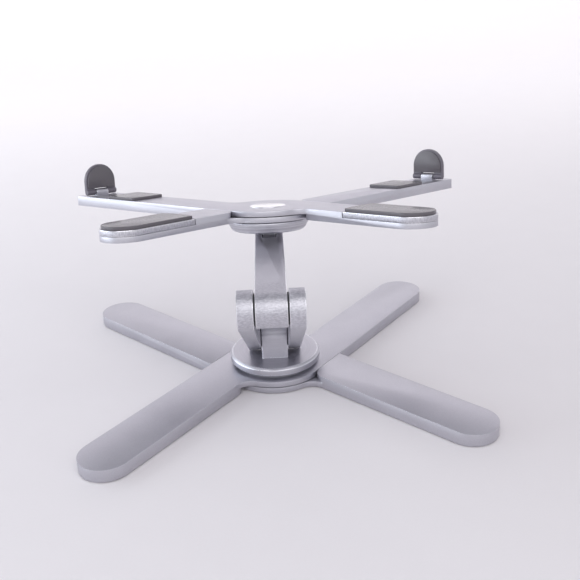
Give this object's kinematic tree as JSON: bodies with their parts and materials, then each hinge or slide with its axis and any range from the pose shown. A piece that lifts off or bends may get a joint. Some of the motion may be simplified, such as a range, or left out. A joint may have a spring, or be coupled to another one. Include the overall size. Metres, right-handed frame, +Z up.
{
  "type": "tablet stand",
  "caption": "Folding tablet stand with a crossed-bar foot, a two-link friction-hinged arm, and a crossed-bar head with swing-out pads and flip-up hooks.",
  "frame": {"origin": "on the ground, on the axis of the foot's hub, at the underside of the hub's rubber foot", "axes": "+Z up; every hinge of the arm lies within a degree of X; the elbow points to -Y and the hooks of the head are on the +Y side"},
  "size_m": [0.2038, 0.2041, 0.1098],
  "materials": {
    "silver_aluminium": "satin, bead-blasted and anodised",
    "steel": "turned, zinc plated",
    "polished_cap": "spun and polished",
    "grey_silicone": "matte silicone",
    "hook_plastic": "fine matte texture",
    "black_rubber": "matte",
    "nylon": "smooth, black"
  },
  "bodies": {
    "foot_lower": {"base_bar_lower": "silver_aluminium", "base_feet_lower": "black_rubber", "base_hub_foot": "black_rubber", "base_lap_washer": "nylon"},
    "foot_upper": {"base_bar_upper": "silver_aluminium", "base_feet_upper": "black_rubber"},
    "swivel": {"swivel_disc": "silver_aluminium", "base_pivot_bolt": "steel", "base_spring_washer": "steel", "base_thrust_washer": "nylon"},
    "lower_arm": {"lower_arm_left": "silver_aluminium", "lower_arm_right": "silver_aluminium", "base_hinge_bolt": "steel", "base_hinge_nut": "steel", "base_hinge_washers": "nylon", "elbow_bolt": "steel", "elbow_nut": "steel", "elbow_washers": "nylon"},
    "upper_arm": {"upper_arm": "silver_aluminium", "head_hinge_bolt": "steel", "head_hinge_nut": "steel", "head_hinge_washers": "nylon"},
    "head_plate": {"head_plate": "silver_aluminium", "head_thrust_washer": "nylon", "head_pivot_screw": "steel", "head_cap": "polished_cap"},
    "head_lower": {"head_bar_lower": "silver_aluminium", "head_lap_washer": "nylon", "extension_rivet_left": "steel", "rear_pad_right": "grey_silicone", "hook_hinge_right": "silver_aluminium"},
    "head_upper": {"head_bar_upper": "silver_aluminium", "extension_rivet_right": "steel", "rear_pad_left": "grey_silicone", "hook_hinge_left": "silver_aluminium"},
    "extension_left": {"extension_left": "silver_aluminium", "front_pad_left": "grey_silicone"},
    "extension_right": {"extension_right": "silver_aluminium", "front_pad_right": "grey_silicone"},
    "hook_left": {"hook_left": "hook_plastic", "hook_face_left": "grey_silicone", "hook_pin_left": "steel"},
    "hook_right": {"hook_right": "hook_plastic", "hook_face_right": "grey_silicone", "hook_pin_right": "steel"}
  },
  "joints": [
    {"name": "foot_fold", "type": "hinge", "parent": "foot_lower", "child": "foot_upper", "pos_m": [0, 0, 0.0036], "axis": [0, 0, 1], "range_deg": [0, 82]},
    {"name": "swivel", "type": "hinge", "parent": "foot_lower", "child": "swivel", "pos_m": [0, 0, 0.0082], "axis": [0, 0, 1], "continuous": true},
    {"name": "base_hinge", "type": "hinge", "parent": "swivel", "child": "lower_arm", "pos_m": [0, 0, 0.0212], "axis": [0.9999, 0.0157, 0], "range_deg": [-40, 30]},
    {"name": "elbow", "type": "hinge", "parent": "lower_arm", "child": "upper_arm", "pos_m": [0.00159, -0.10135, 0.08162], "axis": [-0.9999, -0.0157, 0], "range_deg": [-144, 22]},
    {"name": "head_tilt", "type": "hinge", "parent": "upper_arm", "child": "head_plate", "pos_m": [0.00042, -0.0266, 0.07914], "axis": [0.9999, 0.0157, 0], "range_deg": [-40, 9]},
    {"name": "head_swivel", "type": "hinge", "parent": "head_plate", "child": "head_lower", "pos_m": [0.00038, -0.02399, 0.09254], "axis": [-0.003, 0.1908, 0.9816], "continuous": true},
    {"name": "head_fold", "type": "hinge", "parent": "head_lower", "child": "head_upper", "pos_m": [0.00037, -0.02352, 0.09495], "axis": [0.003, -0.1908, -0.9816], "range_deg": [0, 86]},
    {"name": "extension_left_swing", "type": "hinge", "parent": "head_lower", "child": "extension_left", "pos_m": [-0.05646, -0.07156, 0.10411], "axis": [0.003, -0.1908, -0.9816], "range_deg": [0, 180]},
    {"name": "extension_right_swing", "type": "hinge", "parent": "head_upper", "child": "extension_right", "pos_m": [0.05998, -0.06813, 0.1038], "axis": [-0.003, 0.1908, 0.9816], "range_deg": [0, 180]},
    {"name": "hook_left_flip", "type": "hinge", "parent": "head_upper", "child": "hook_left", "pos_m": [-0.09037, 0.05278, 0.08427], "axis": [0.711, 0.6907, -0.1321], "range_deg": [0, 90]},
    {"name": "hook_right_flip", "type": "hinge", "parent": "head_lower", "child": "hook_right", "pos_m": [0.0864, 0.05798, 0.0838], "axis": [0.7511, -0.6477, 0.1282], "range_deg": [0, 90]}
  ]
}
